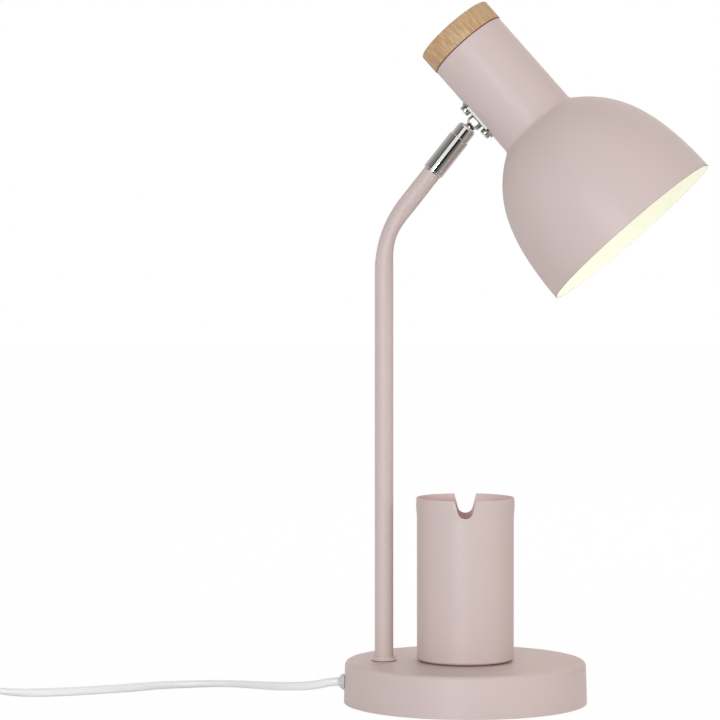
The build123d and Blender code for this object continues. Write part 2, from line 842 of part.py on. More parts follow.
def coil_gap(path):
    """The least gap between the tube's own turns, measured on points along it."""
    count = int(path.length / 4)
    points = [path @ (i / count) for i in range(count + 1)]
    apart = int(coil_inner_radius * pi / 4)
    least = min((a - b).length for i, a in enumerate(points) for b in points[i + apart:])
    return least - cord_diameter


def cord_coil():
    """The spare cord, wound inwards in one layer and outwards in the next."""
    turns = coil_points()
    first = turns[0][0]
    last = turns[-1][2]
    edges = [Line(first + Vector(coil_lead, 0, 0), first)]
    edges += [ThreePointArc(*turn) for turn in turns]
    edges.append(Line(last, last + Vector(coil_lead, 0, 0)))
    path = Wire(edges)
    section = Plane(origin=path @ 0, z_dir=path % 0) * Circle(cord_radius)
    body = sweep(section, path=path)
    expected = pi * cord_radius ** 2 * path.length
    print("cord_coil length", round(path.length, 1), "volume ratio", round(body.volume / expected, 4),
          "least gap", round(coil_gap(path), 2))
    return body, path.length


def tail_route():
    """From the coil's upper end down to the plug's entry."""
    end = coil_points()[-1][2] + Vector(coil_lead, 0, 0)
    second = end + Vector(tail_first_run, 0, 0)
    third = Vector(second.X + tail_drop_run, end.Y, plug_entry_height)
    fourth = third + Vector(tail_last_run, 0, 0)
    return [tuple(p) for p in (end, second, third, fourth)]


def plug_place():
    return Pos(*tail_route()[-1])


def plug_body():
    """Flat plug with a tapered cord end."""
    start, end = plug_strain_radii
    strain = along_x(Pos(0, 0, plug_strain_length / 2) * Cone(start, end, plug_strain_length))
    shape = RectangleRounded(plug_length, plug_width, plug_corner)
    body = extrude(shape, plug_height)
    body = fillet(body.edges().group_by(Axis.Z)[-1], plug_edge)
    body = Pos(plug_strain_length + plug_length / 2, 0, -plug_entry_height) * body
    return plug_place() * (strain + body)


def plug_pins():
    """Two round pins with rounded ends."""
    start = plug_strain_length + plug_length
    pin = rod(pin_radius, start, start + pin_length)
    pin = fillet(pin.edges().group_by(Axis.Z)[-1], pin_round)
    return [plug_place() * Pos(0, side * pin_spacing / 2, 0) * along_x(pin) for side in (-1, 1)]


def switch_place():
    x, y, _ = cord_route[-1]
    return Pos(x - switch_length / 2, y, 0)


def switch_shell(low, high, open_low):
    """One half of the switch housing, hollow towards the other half."""
    outer = extrude(RectangleRounded(switch_length, switch_width, switch_corner), high - low)
    outer = Pos(0, 0, low) * outer
    rounded_level = -1 if open_low else 0
    outer = fillet(outer.edges().group_by(Axis.Z)[rounded_level], switch_edge)
    inner_length = switch_length - 2 * switch_wall
    inner_width = switch_width - 2 * switch_wall
    room = extrude(RectangleRounded(inner_length, inner_width, switch_corner - switch_wall), high - low - switch_wall)
    floor = low if open_low else low + switch_wall
    return outer - Pos(0, 0, floor) * room


def switch_screw_posts(low, high):
    """Two posts in the housing that the screws go through."""
    post = tube(switch_screw[1] + 0.6, switch_screw[0] + screw_clearance, low, high)
    return [Pos(side * switch_screw_spacing / 2, 0) * post for side in (-1, 1)]


def switch_base():
    body = switch_shell(0, switch_split, False)
    for post in switch_screw_posts(switch_wall, switch_split):
        body += post
    for side in (-1, 1):
        body -= Pos(side * switch_screw_spacing / 2, 0) * rod(switch_screw[0] + screw_clearance, 0, switch_split)
        recess = rod(switch_screw[1] + screw_clearance, 0, switch_screw[2] + part_clearance)
        body -= Pos(side * switch_screw_spacing / 2, 0) * recess
    for side in (-1, 1):
        cheek = Box(cheek_length, cheek_thickness, rocker_axis_height - switch_wall - rocker_pin_radius - part_clearance)
        height = (rocker_axis_height - rocker_pin_radius - part_clearance + switch_wall) / 2
        body += Pos(0, side * (rocker_width / 2 + cheek_thickness / 2 + rocker_clearance), height) * cheek
    return switch_place() * body


def switch_cover():
    body = switch_shell(switch_split, switch_height, True)
    opening = Box(rocker_length, rocker_width, switch_height)
    body -= Pos(0, 0, switch_height) * opening
    for post in switch_screw_posts(switch_split, switch_height - switch_wall):
        body += post
    return switch_place() * body


def switch_rocker():
    """Rocker on a cross pin, pressed down at its lit end."""
    length = rocker_length - 2 * rocker_end_clearance
    width = rocker_width - 2 * rocker_clearance
    top = switch_height + rocker_proud
    low = rocker_axis_height - rocker_depth / 2
    sag = rocker_proud * 0.8
    profile = [
        ThreePointArc((-length / 2, top), (0, top - sag), (length / 2, top)),
        Polyline((length / 2, top), (length / 2 - 1.2, low), (-length / 2 + 1.2, low), (-length / 2, top)),
    ]
    body = extrude(Plane.XZ * make_face(profile), width / 2, both=True)
    pin = Rot(90, 0, 0) * rod(rocker_pin_radius, -rocker_width / 2 - 1.5, rocker_width / 2 + 1.5)
    turned = Pos(0, 0, rocker_axis_height) * Rot(0, rocker_tilt, 0) * Pos(0, 0, -rocker_axis_height)
    return switch_place() * turned * (body + Pos(0, 0, rocker_axis_height) * pin)


def switch_screws():
    length = switch_height - 2 * switch_wall - switch_screw[2]
    screw = Pos(0, 0, switch_screw[2] + part_clearance) * Rot(180, 0, 0) * pan_screw(switch_screw, length)
    return [switch_place() * Pos(side * switch_screw_spacing / 2, 0) * screw for side in (-1, 1)]


def write(name, shape):
    """Save one node, as a group where it has several solids."""
    if isinstance(shape, list):
        shape = Compound(children=[Part(s.wrapped) if not isinstance(s, Solid) else s for s in shape])
    export_step(shape, os.path.join("parts", name + ".step"))


stretch, stretch_length = cord_tube("cord_stretch", cord_route)
link, link_length = cord_tube("cord_link", link_route)
tail, tail_length = cord_tube("cord_tail", tail_route())
coil, coil_length = cord_coil()
print("cord outside the base", round(stretch_length + switch_length + link_length + coil_length + tail_length))
print("ball centre", ball_center)
print("swivel axis", arm_direction, "tilt axis", Plane(swivel_place).y_dir, "turn axis", Plane(stud_place).z_dir)
print("mouth side", Plane(head_place).x_dir, "plug", tail_route()[-1])

nodes = {
    "base_shell": base_shell(),
    "base_weight": base_weight(),
    "base_plate": base_plate(),
    "foot_pad": foot_pad(),
    "base_screws": base_screws(),
    "pen_cup": pen_cup(),
    "cup_spacer": cup_spacer(),
    "cup_screw": cup_screw(),
    "cup_nut": cup_nut(),
    "stem": stem(),
    "stem_collar": stem_collar(),
    "stem_nipple": stem_nipple(),
    "stem_washer": stem_washer(),
    "stem_nut": stem_nut(),
    "stem_wires": stem_wires(),
    "arm_sleeve": arm_sleeve(),
    "ball_socket": ball_socket(),
    "ball_seat": ball_seat(),
    "socket_clip": socket_clip(),
    "socket_spring": socket_spring(),
    "ball_stud": ball_stud(),
    "stud_washer": stud_washer(),
    "stud_nut": stud_nut(),
    "joint_plate": joint_plate(),
    "backing_plate": backing_plate(),
    "plate_screws": plate_screws(),
    "shade": shade(),
    "wood_cap": wood_cap(),
    "holder_bridge": holder_bridge(),
    "holder_nipple": holder_nipple(),
    "holder_nut": holder_nut(),
    "holder_cap": holder_cap(),
    "holder_body": holder_body(),
    "holder_contact": holder_contact(),
    "bulb_cap": bulb_cap(),
    "bulb_tip": bulb_tip(),
    "bulb_glass": bulb_glass(),
    "head_wires": head_wires(),
    "cord_grommet": cord_grommet(),
    "cord_clamp": cord_clamp(),
    "clamp_screw": clamp_screw(),
    "cord_inner": cord_inner(),
    "cord_stretch": stretch,
    "cord_link": link,
    "cord_coil": coil,
    "cord_tail": tail,
    "switch_base": switch_base(),
    "switch_cover": switch_cover(),
    "switch_rocker": switch_rocker(),
    "switch_screws": switch_screws(),
    "plug_body": plug_body(),
    "plug_pins": plug_pins(),
}

for node_name, node_shape in nodes.items():
    write(node_name, node_shape)
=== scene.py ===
import json
from math import acos, cos, degrees, pi, radians, sin

import bmesh
import bpy
from mathutils import Matrix, Vector


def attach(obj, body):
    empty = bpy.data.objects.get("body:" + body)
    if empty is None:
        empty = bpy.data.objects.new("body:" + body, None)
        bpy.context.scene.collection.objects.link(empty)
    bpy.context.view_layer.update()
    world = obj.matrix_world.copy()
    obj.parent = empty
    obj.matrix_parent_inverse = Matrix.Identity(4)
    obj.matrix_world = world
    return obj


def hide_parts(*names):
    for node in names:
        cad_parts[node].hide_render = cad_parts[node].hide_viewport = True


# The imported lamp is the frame: metres, +Z up, origin on the table under the base's centre
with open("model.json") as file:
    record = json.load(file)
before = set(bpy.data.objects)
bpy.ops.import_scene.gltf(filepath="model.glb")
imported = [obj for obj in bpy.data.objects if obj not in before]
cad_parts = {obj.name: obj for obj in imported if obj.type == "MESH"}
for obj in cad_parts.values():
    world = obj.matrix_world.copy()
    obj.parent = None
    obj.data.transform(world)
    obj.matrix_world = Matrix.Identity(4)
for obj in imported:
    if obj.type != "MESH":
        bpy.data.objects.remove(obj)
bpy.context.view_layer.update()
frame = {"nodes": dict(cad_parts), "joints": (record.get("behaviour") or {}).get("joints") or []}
nodes = frame["nodes"]
MM = 0.001

# The view: a level long lens, raised in the picture by its shift
LENS = 160.0
SENSOR = 36.0
CAMERA_PLACE = (-0.0672, -2.042, 0.304)
PICTURE_SIDE = 720
HORIZON_ROW = 226

# The head, read from the joints: the stud's line and the neck's line from the ball
joints = {j["name"]: j for j in frame["joints"]}
ball = Vector(joints["head_turn"]["pos_m"])
stud_line = Vector(joints["head_turn"]["axis"]).normalized()
tilt_line = Vector(joints["head_tilt"]["axis"]).normalized()
arm_line = Vector(joints["head_swivel"]["axis"]).normalized()
head_line = tilt_line.cross(stud_line).normalized()
BALL_TO_AXIS = 37.8 * MM
head_origin = ball + stud_line * BALL_TO_AXIS


def place_matrix(origin, along, up):
    """A place whose X runs along one line and whose Z runs near another."""
    x = along.normalized()
    y = up.cross(x).normalized()
    z = x.cross(y)
    return Matrix.Translation(origin) @ Matrix((x, y, z)).transposed().to_4x4()


HEAD = place_matrix(head_origin, head_line, stud_line)

# Head sizes, along the neck's line from the stud
NECK_RADIUS = 26.35 * MM
NECK_TOP = -40.0 * MM
MOUTH = 118.3 * MM
MOUTH_RADIUS = 63.55 * MM
SHADE_WALL = 0.8 * MM
DOME_RADII = (207.0 * MM, 109.2 * MM, 70.6 * MM)
DOME_TURNS = (9.4, 20.9)
CREASE_ROUND = 4.0 * MM
CAP_RADIUS = 26.85 * MM
CAP_HEIGHT = 14.4 * MM
CAP_ROUND = 1.3 * MM
SEAM_HEIGHT = 0.7 * MM
SEAM_DEPTH = 0.35 * MM
CAP_INNER = 20.0 * MM

# Stem and arm, in the plane of the bend
STEM_X = -51.85 * MM
STEM_RADIUS = 5.9 * MM
STEM_FOOT = 26.8 * MM
BEND_START = 275.03 * MM
BEND_RADIUS = 69.3 * MM
ARM_ANGLE = radians(38.2)
ARM_REACH = 25.7 * MM
STEM_IN_SLEEVE = 10.0 * MM
BEND_FLAT = 1.8 * MM
BEND_SPREAD = 0.4 * MM
SLEEVE_RADIUS = 6.85 * MM
SLEEVE_LENGTH = 28.0 * MM
SLEEVE_ROUND = 0.6 * MM
SLEEVE_STEP = 0.8 * MM
SLEEVE_STEP_RADIUS = 6.35 * MM
SOCKET_RADIUS = 6.1 * MM
SOCKET_END = 37.0 * MM
SOCKET_ROUND = 1.5 * MM
SHOULDER_REACH = 2.4 * MM
SOCKET_MOUTH = 4.52 * MM
BALL_STATION = 33.5 * MM
SLEEVE_FOOT = ball - arm_line * BALL_STATION
BALL_CAVITY = 4.95 * MM
CAVITY_OPENING = 22.5
SPIGOT_BORE = 5.05 * MM
SPIGOT_BORE_FOOT = STEM_IN_SLEEVE + 9.0 * MM
SMALL_ROUND = 0.3 * MM
STEM_FIT = 0.05 * MM
SOCKET_SEAM = 0.06 * MM
SOCKET_LIP = 0.1 * MM

# Inside these limits the cup takes a lighter, redder pink that is painted bounce light, and the collar's foot
# a dark red that is painted shadow
CUP_INSIDE = 30.0 * MM
COLLAR_FOOT = STEM_FOOT + 0.55 * MM

# Cord sizes
CORD_WIDE = 5.5 * MM
CORD_FLAT = 4.6 * MM
CORD_SIDES = 20
CORD_GROOVE = 0.10

# The cord's routes, listed point by point, and its coil, all in millimetres
CORD_ROUTE_MM = [
    (-80.1, 0.0, 13.3),
    (-85.7, 0.0, 13.3),
    (-96.0, 2.4, 10.6),
    (-108.5, 10.5, 8.7),
    (-121.5, 22.0, 7.2),
    (-134.0, 35.0, 6.0),
    (-146.5, 47.2, 5.0),
    (-157.5, 55.5, 4.1),
    (-170.5, 60.3, 3.3),
    (-184.4, 60.8, 2.8),
    (-197.9, 57.2, 2.8),
    (-209.8, 49.9, 2.8),
    (-224.0, 42.0, 2.8),
    (-239.0, 35.0, 2.8),
    (-254.0, 28.8, 2.8),
    (-270.0, 24.2, 2.8),
    (-284.0, 22.4, 2.8),
    (-296.0, 22.2, 3.6),
    (-307.0, 23.0, 5.2),
    (-318.0, 23.0, 5.2),
]
LINK_ROUTE_MM = [
    (-378.0, 23.0, 5.2),
    (-388.0, 23.0, 5.2),
    (-400.0, 23.0, 2.8),
    (-411.6, 23.0, 2.8),
]
COIL_INNER_RADIUS = 23.6
COIL_TURN_PITCH = 6.0
COIL_LAYER_RISE = 6.0
COIL_HALF_TURNS = 6
COIL_LEAD = 5.4
COIL_STEPS = 8
TAIL_STEPS_MM = [(10.1, 0.0), (11.2, -2.3), (10.1, 0.0)]

# How a cord turns about itself: distance along it, and degrees that its wide side stands up
SEEN_TURNS = [(0.0, 90), (0.030, 90), (0.097, 25), (0.180, 90), (0.215, 90), (0.262, 0)]
SPARE_TURNS = [(0.0, 0), (2.0, 0)]

# How finely the pieces are drawn
ROUND_SIDES = 128
SHADE_SIDES = 160
STEM_SIDES = 64
STRAIGHT_STEPS = 9
BEND_STEPS = 36
CREASE_STEPS = 8
DOME_STEPS = 14
RIM_STEPS = 6
CAVITY_STEPS = 16
SHOULDER_STEPS = 12
TOUCHING = 1e-7

# Stage sizes
FLOOR_REACH = 6.0
FLOOR_WHITE = 0.985
WORLD_LEVEL = 0.71
WORLD_LEFT_FALL = 0.17
CARD_REACH = 0.45
CARD_HALF_LENGTH = 0.2

# Cards that the chrome reflects: name, start and end angle round the arm, and colour
CARDS = [
    ("card_left_end", -178, -135, (0.60, 0.60, 0.60)),
    ("card_left_far", -135, -106, (0.56, 0.56, 0.56)),
    ("card_left_mid", -106, -80, (0.36, 0.36, 0.36)),
    ("card_left_near", -80, -53, (0.25, 0.25, 0.25)),
    ("card_left_line", -53, -38, (0.07, 0.07, 0.07)),
    ("card_black", -2, 20, (0.02, 0.02, 0.02)),
    ("card_dark", 20, 34, (0.13, 0.13, 0.13)),
    ("card_grey", 34, 50, (0.27, 0.27, 0.27)),
    ("card_pale_line", 50, 66, (0.42, 0.41, 0.41)),
    ("card_low", 66, 96, (0.25, 0.20, 0.19)),
    ("card_low_pale", 96, 120, (0.46, 0.41, 0.39)),
    ("card_low_end", 120, 178, (0.66, 0.62, 0.60)),
]


def add_camera():
    data = bpy.data.cameras.new("camera")
    data.lens = LENS
    data.sensor_width = SENSOR
    data.shift_y = (HORIZON_ROW - PICTURE_SIDE / 2) / PICTURE_SIDE
    data.clip_end = 20
    camera = bpy.data.objects.new("camera", data)
    camera.location = CAMERA_PLACE
    camera.rotation_euler = (pi / 2, 0, 0)
    bpy.context.scene.collection.objects.link(camera)
    bpy.context.scene.camera = camera


def new_object(name, mesh, body, smooth=True):
    """Link a mesh as a piece that rides on a body."""
    piece = bpy.data.objects.new(name, mesh)
    bpy.context.scene.collection.objects.link(piece)
    if smooth:
        mesh.shade_smooth()
    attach(piece, body)
    return piece


# Cord
def coil_points():
    """Control points of the coil: half turns inwards, a climb, and half turns outwards."""
    x, y, z = LINK_ROUTE_MM[-1]
    x -= COIL_LEAD
    points = [(x, y, z)]
    swell = 1 / (0.75 + 0.25 * cos(pi / COIL_STEPS))
    steps = list(range(COIL_HALF_TURNS, 0, -1)) + [0] + list(range(1, COIL_HALF_TURNS + 1))
    heading = 1
    for step in steps:
        radius = COIL_INNER_RADIUS + step * COIL_TURN_PITCH / 2
        rise = COIL_LAYER_RISE if step == 0 else 0
        center_y = y + heading * radius
        for i in range(COIL_STEPS):
            angle = (i + 0.5) * pi / COIL_STEPS
            points.append((
                x - heading * radius * swell * sin(angle),
                center_y - heading * radius * swell * cos(angle),
                z + rise * (1 - cos(angle)) / 2,
            ))
        y += heading * 2 * radius
        z += rise
        heading = -heading
    points.append((x, y, z))
    points.append((x + COIL_LEAD, y, z))
    return points


def tail_points():
    x, y, z = coil_points()[-1]
    points = []
    for run, drop in TAIL_STEPS_MM:
        x += run
        z += drop
        points.append((x, y, z))
    return points


def cord_line(name, points_mm):
    """A smooth line that the cord follows."""
    curve = bpy.data.curves.new(name, "CURVE")
    curve.dimensions = "3D"
    curve.resolution_u = 6
    spline = curve.splines.new("NURBS")
    spline.points.add(len(points_mm) - 1)
    for point, place in zip(spline.points, points_mm):
        point.co = (*[v * MM for v in place], 1)
    spline.order_u = 3
    spline.use_endpoint_u = True
    holder = bpy.data.objects.new(name, curve)
    bpy.context.scene.collection.objects.link(holder)
    mesh = bpy.data.meshes.new_from_object(holder)
    line = [v.co.copy() for v in mesh.vertices]
    bpy.data.objects.remove(holder)
    bpy.data.meshes.remove(mesh)
    return line


def turn_at(distance, turns):
    """The cord's own turn at a distance, eased between the listed places."""
    for (start, low), (end, high) in zip(turns, turns[1:]):
        if distance <= end:
            share = max(0.0, (distance - start) / (end - start))
            return radians(low + (high - low) * (3 - 2 * share) * share * share)
    return radians(turns[-1][1])


def cord_section(angle):
    """Two cores side by side: an oval with a shallow groove on each flat side."""
    groove = 1 - CORD_GROOVE * max(0.0, sin(angle) ** 2 - 0.75) * 4
    return cos(angle) * CORD_WIDE / 2, sin(angle) * CORD_FLAT / 2 * groove


def cord_mesh(name, line, turns):
    """A closed tube of the cord's section, turning gently along its line."""
    mesh = bpy.data.meshes.new(name)
    bm = bmesh.new()
    uv_layer = bm.loops.layers.uv.new("along")
    up = Vector((0, 0, 1))
    distance = 0.0
    rings = []
    stations = []
    for i, point in enumerate(line):
        before = line[max(i - 1, 0)]
        after = line[min(i + 1, len(line) - 1)]
        along = (after - before).normalized()
        side = up.cross(along).normalized()
        top = along.cross(side)
        if i:
            distance += (point - line[i - 1]).length
        turn = turn_at(distance, turns)
        ring = []
        for k in range(CORD_SIDES):
            a, b = cord_section(2 * pi * k / CORD_SIDES)
            wide = side * cos(turn) + top * sin(turn)
            high = top * cos(turn) - side * sin(turn)
            ring.append(bm.verts.new(point + wide * a + high * b))
        rings.append(ring)
        stations.append(distance)
    for i, (a, b) in enumerate(zip(rings, rings[1:])):
        for k in range(CORD_SIDES):
            n = (k + 1) % CORD_SIDES
            face = bm.faces.new((a[k], a[n], b[n], b[k]))
            corners = ((i, k), (i, k + 1), (i + 1, k + 1), (i + 1, k))
            for loop, (row, column) in zip(face.loops, corners):
                loop[uv_layer].uv = (stations[row], column / CORD_SIDES)
    bm.faces.new(rings[0][::-1])
    bm.faces.new(rings[-1])
    bmesh.ops.recalc_face_normals(bm, faces=bm.faces)
    bm.to_mesh(mesh)
    bm.free()
    return mesh


def add_cords():
    """The seen cord to the switch, and the put-away rest of it with its plug."""
    seen_line = cord_line("seen_line", CORD_ROUTE_MM)
    seen = new_object("lead_seen", cord_mesh("lead_seen", seen_line, SEEN_TURNS), "root")
    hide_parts("cord_stretch")
    spare_points = LINK_ROUTE_MM + coil_points() + tail_points()
    spare_line = cord_line("spare_line", spare_points)
    spare = new_object("lead_spare", cord_mesh("lead_spare", spare_line, SPARE_TURNS), "root")
    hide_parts("cord_link", "cord_coil", "cord_tail")
    return [seen, spare]


# Material tools
def srgb(r, g, b):
    """A colour as it is seen, 0 to 255, turned into the shader's linear values."""
    def one(v):
        v /= 255
        return v / 12.92 if v <= 0.04045 else ((v + 0.055) / 1.055) ** 2.4
    return (one(r), one(g), one(b), 1.0)


def new_group(name, inputs, outputs):
    """An empty shader node group with named sockets."""
    group = bpy.data.node_groups.new(name, "ShaderNodeTree")
    for label, kind, value in inputs:
        socket = group.interface.new_socket(label, in_out="INPUT", socket_type=kind)
        if value is not None:
            socket.default_value = value
    for label, kind in outputs:
        group.interface.new_socket(label, in_out="OUTPUT", socket_type=kind)
    start = group.nodes.new("NodeGroupInput")
    end = group.nodes.new("NodeGroupOutput")
    return group, start, end


def surface_group():
    """Fine skin of a finish: slow colour clouds, a fine bump height and a roughness change."""
    group, start, end = new_group(
        "finish_skin",
        [("Colour", "NodeSocketColor", None), ("Cloud Size", "NodeSocketFloat", 40.0),
         ("Cloud Amount", "NodeSocketFloat", 0.04), ("Grain Size", "NodeSocketFloat", 1400.0),
         ("Roughness", "NodeSocketFloat", 0.5), ("Roughness Change", "NodeSocketFloat", 0.06)],
        [("Colour", "NodeSocketColor"), ("Roughness", "NodeSocketFloat"), ("Height", "NodeSocketFloat")])
    links = group.links
    place = group.nodes.new("ShaderNodeTexCoord")
    cloud = group.nodes.new("ShaderNodeTexNoise")
    cloud.inputs["Detail"].default_value = 3
    grain = group.nodes.new("ShaderNodeTexNoise")
    grain.inputs["Detail"].default_value = 2
    links.new(place.outputs["Object"], cloud.inputs["Vector"])
    links.new(place.outputs["Object"], grain.inputs["Vector"])
    links.new(start.outputs["Cloud Size"], cloud.inputs["Scale"])
    links.new(start.outputs["Grain Size"], grain.inputs["Scale"])
    centred = group.nodes.new("ShaderNodeMath")
    centred.operation = "SUBTRACT"
    centred.inputs[1].default_value = 0.5
    links.new(cloud.outputs["Fac"], centred.inputs[0])
    swing = group.nodes.new("ShaderNodeMath")
    swing.operation = "MULTIPLY_ADD"
    swing.inputs[2].default_value = 1.0
    links.new(centred.outputs[0], swing.inputs[0])
    links.new(start.outputs["Cloud Amount"], swing.inputs[1])
    tint = group.nodes.new("ShaderNodeVectorMath")
    tint.operation = "SCALE"
    links.new(start.outputs["Colour"], tint.inputs[0])
    links.new(swing.outputs[0], tint.inputs["Scale"])
    links.new(tint.outputs[0], end.inputs["Colour"])
    rough = group.nodes.new("ShaderNodeMath")
    rough.operation = "MULTIPLY_ADD"
    links.new(centred.outputs[0], rough.inputs[0])
    links.new(start.outputs["Roughness Change"], rough.inputs[1])
    links.new(start.outputs["Roughness"], rough.inputs[2])
    links.new(rough.outputs[0], end.inputs["Roughness"])
    links.new(grain.outputs["Fac"], end.inputs["Height"])
    return group


SKIN = surface_group()


def finish(name, colour, roughness, metallic=0.0, cloud=0.04, cloud_size=40.0, grain_size=1400.0,
           bump=0.05, bump_depth=0.00005, rough_change=0.08, coat=0.0, coat_rough=0.2, specular=0.5):
    """A material built on the shared skin group."""
    material = bpy.data.materials.new(name)
    material.use_nodes = True
    tree = material.node_tree
    shader = tree.nodes["Principled BSDF"]
    skin = tree.nodes.new("ShaderNodeGroup")
    skin.node_tree = SKIN
    skin.inputs["Colour"].default_value = colour
    skin.inputs["Cloud Size"].default_value = cloud_size
    skin.inputs["Cloud Amount"].default_value = cloud
    skin.inputs["Grain Size"].default_value = grain_size
    skin.inputs["Roughness"].default_value = roughness
    skin.inputs["Roughness Change"].default_value = rough_change
    tree.links.new(skin.outputs["Colour"], shader.inputs["Base Color"])
    tree.links.new(skin.outputs["Roughness"], shader.inputs["Roughness"])
    if bump:
        bumper = tree.nodes.new("ShaderNodeBump")
        bumper.inputs["Strength"].default_value = bump
        bumper.inputs["Distance"].default_value = bump_depth
        tree.links.new(skin.outputs["Height"], bumper.inputs["Height"])
        tree.links.new(bumper.outputs["Normal"], shader.inputs["Normal"])
    shader.inputs["Metallic"].default_value = metallic
    shader.inputs["Coat Weight"].default_value = coat
    shader.inputs["Coat Roughness"].default_value = coat_rough
    shader.inputs["Specular IOR Level"].default_value = specular
    return material


def wood_finish():
    """Oiled pale oak, its grain along the neck's line."""
    dark, pale = srgb(162, 120, 80), srgb(207, 175, 138)
    material = finish("oiled_oak", pale, 0.55, cloud_size=60, bump=0.25, specular=0.35)
    tree = material.node_tree
    shader = tree.nodes["Principled BSDF"]
    place = tree.nodes.new("ShaderNodeTexCoord")
    turn = tree.nodes.new("ShaderNodeMapping")
    turn.vector_type = "TEXTURE"
    turn.inputs["Location"].default_value = head_origin
    turn.inputs["Rotation"].default_value = HEAD.to_euler()
    squeeze = tree.nodes.new("ShaderNodeMapping")
    squeeze.inputs["Scale"].default_value = (1.5, 11.0, 11.0)
    streaks = tree.nodes.new("ShaderNodeTexNoise")
    streaks.inputs["Scale"].default_value = 55
    streaks.inputs["Detail"].default_value = 6
    streaks.inputs["Roughness"].default_value = 0.65
    streaks.inputs["Distortion"].default_value = 0.9
    ramp = tree.nodes.new("ShaderNodeValToRGB")
    ramp.color_ramp.elements[0].position = 0.30
    ramp.color_ramp.elements[0].color = dark
    ramp.color_ramp.elements[1].position = 0.72
    ramp.color_ramp.elements[1].color = pale
    links = tree.links
    links.new(place.outputs["Object"], turn.inputs["Vector"])
    links.new(turn.outputs["Vector"], squeeze.inputs["Vector"])
    links.new(squeeze.outputs["Vector"], streaks.inputs["Vector"])
    links.new(streaks.outputs["Fac"], ramp.inputs["Fac"])
    links.new(ramp.outputs["Color"], shader.inputs["Base Color"])
    bumper = [n for n in tree.nodes if n.type == "BUMP"][0]
    links.new(streaks.outputs["Fac"], bumper.inputs["Height"])
    bumper.inputs["Distance"].default_value = 0.0002
    return material


def glow_finish(name, colour, strength):
    """A surface that gives off light: the bulb's own glow, and a painted glow on the shade's white inside."""
    material = finish(name, colour, 0.4, bump=0.02)
    shader = material.node_tree.nodes["Principled BSDF"]
    shader.inputs["Emission Color"].default_value = colour
    shader.inputs["Emission Strength"].default_value = strength
    return material


def pink_paint(name):
    return finish(name, srgb(200, 180, 176), 0.44, cloud=0.02, grain_size=2400, bump=0.12,
                  bump_depth=0.00004, specular=0.3)


def pink_with_painted_light_and_shade(name, scale, limit, colour):
    """The pink paint, with a second colour where the scaled place's length is under a limit: painted bounce
    light inside the cup, painted shadow at the collar's foot.
    """
    material = pink_paint(name)
    tree = material.node_tree
    place = tree.nodes.new("ShaderNodeTexCoord")
    stretch = tree.nodes.new("ShaderNodeVectorMath")
    stretch.operation = "MULTIPLY"
    stretch.inputs[1].default_value = scale
    reach = tree.nodes.new("ShaderNodeVectorMath")
    reach.operation = "LENGTH"
    inside = tree.nodes.new("ShaderNodeMath")
    inside.operation = "LESS_THAN"
    inside.inputs[1].default_value = limit
    blend = tree.nodes.new("ShaderNodeMix")
    blend.data_type = "RGBA"
    links = tree.links
    links.new(place.outputs["Object"], stretch.inputs[0])
    links.new(stretch.outputs["Vector"], reach.inputs[0])
    links.new(reach.outputs["Value"], inside.inputs[0])
    links.new(inside.outputs[0], blend.inputs["Factor"])
    skin = [n for n in tree.nodes if n.type == "GROUP"][0]
    links.new(skin.outputs["Colour"], blend.inputs["A"])
    blend.inputs["B"].default_value = colour
    links.new(blend.outputs["Result"], tree.nodes["Principled BSDF"].inputs["Base Color"])
    return material


PINK = pink_paint("pink_powder_coat")
# Inside the cup the pink is lighter and redder: painted bounce light.
PINK_CUP_PAINTED_LIGHT = pink_with_painted_light_and_shade("pink_cup_painted_bounce_light", (1, 1, 0), CUP_INSIDE, srgb(224, 196, 193))
# A dark red ring at the collar's foot: painted shadow under the collar.
PINK_COLLAR_PAINTED_SHADOW = pink_with_painted_light_and_shade("pink_collar_painted_foot_shadow", (0, 0, 1), COLLAR_FOOT, srgb(136, 92, 86))
# Dark olive on the middle of the mouth's rounded edge: painted shade along the rim.
RIM_PAINTED_SHADE = finish("rim_painted_shade", srgb(150, 132, 112), 0.6, bump=0)
# The shade's white inside gives off a little light of its own: painted light standing in for the bulb's light
# on it.
WHITE_INSIDE_PAINTED_GLOW = glow_finish("white_inside_painted_glow", srgb(250, 250, 239), 0.13)
CHROME = finish("polished_chrome", srgb(226, 225, 222), 0.07, metallic=1.0, cloud=0.02, bump=0,
                rough_change=0.02)
STEEL = finish("zinc_plated_steel", srgb(176, 177, 180), 0.32, metallic=1.0, cloud=0.10, bump=0.10)
CAST = finish("rough_cast_iron", srgb(70, 70, 72), 0.75, metallic=0.6, cloud=0.2, grain_size=500, bump=0.6,
              bump_depth=0.0002)
OAK = wood_finish()
NICKEL = finish("satin_nickel", srgb(206, 206, 200), 0.2, metallic=1.0, cloud=0.02, bump=0, rough_change=0.02)
# Dark brown for the seam under the cap: painted shade in its small recess.
SEAM_PAINTED_SHADE = finish("seam_painted_shade", srgb(104, 66, 50), 0.8, bump=0)
FOAM = finish("dark_foam", srgb(48, 46, 46), 0.95, cloud=0.15, grain_size=900, bump=0.6, bump_depth=0.0002)
# Dark red on the thin spacer under the cup: painted shadow for the gap under the cup.
SPACER_PAINTED_SHADOW = finish("spacer_painted_shadow", srgb(150, 98, 92), 0.8)
BUSH = finish("grey_bush", srgb(196, 194, 192), 0.5)
SHEATH = finish("white_sheath", srgb(227, 225, 225), 0.42, cloud=0.03, grain_size=900, bump=0.15)
WHITE_PLASTIC = finish("white_moulded_plastic", srgb(232, 232, 229), 0.3, cloud=0.02, bump=0.08, coat=0.1)
CORE = finish("wire_core", srgb(150, 120, 90), 0.5)
PIN = finish("nickel_plated_pin", srgb(205, 200, 188), 0.2, metallic=1.0, cloud=0.05, bump=0.04)
THREAD = finish("rolled_thread_shell", srgb(190, 190, 190), 0.3, metallic=1.0, cloud=0.06, bump=0.1)
OPAL = glow_finish("opal_glass_lit", srgb(255, 249, 226), 0.75)

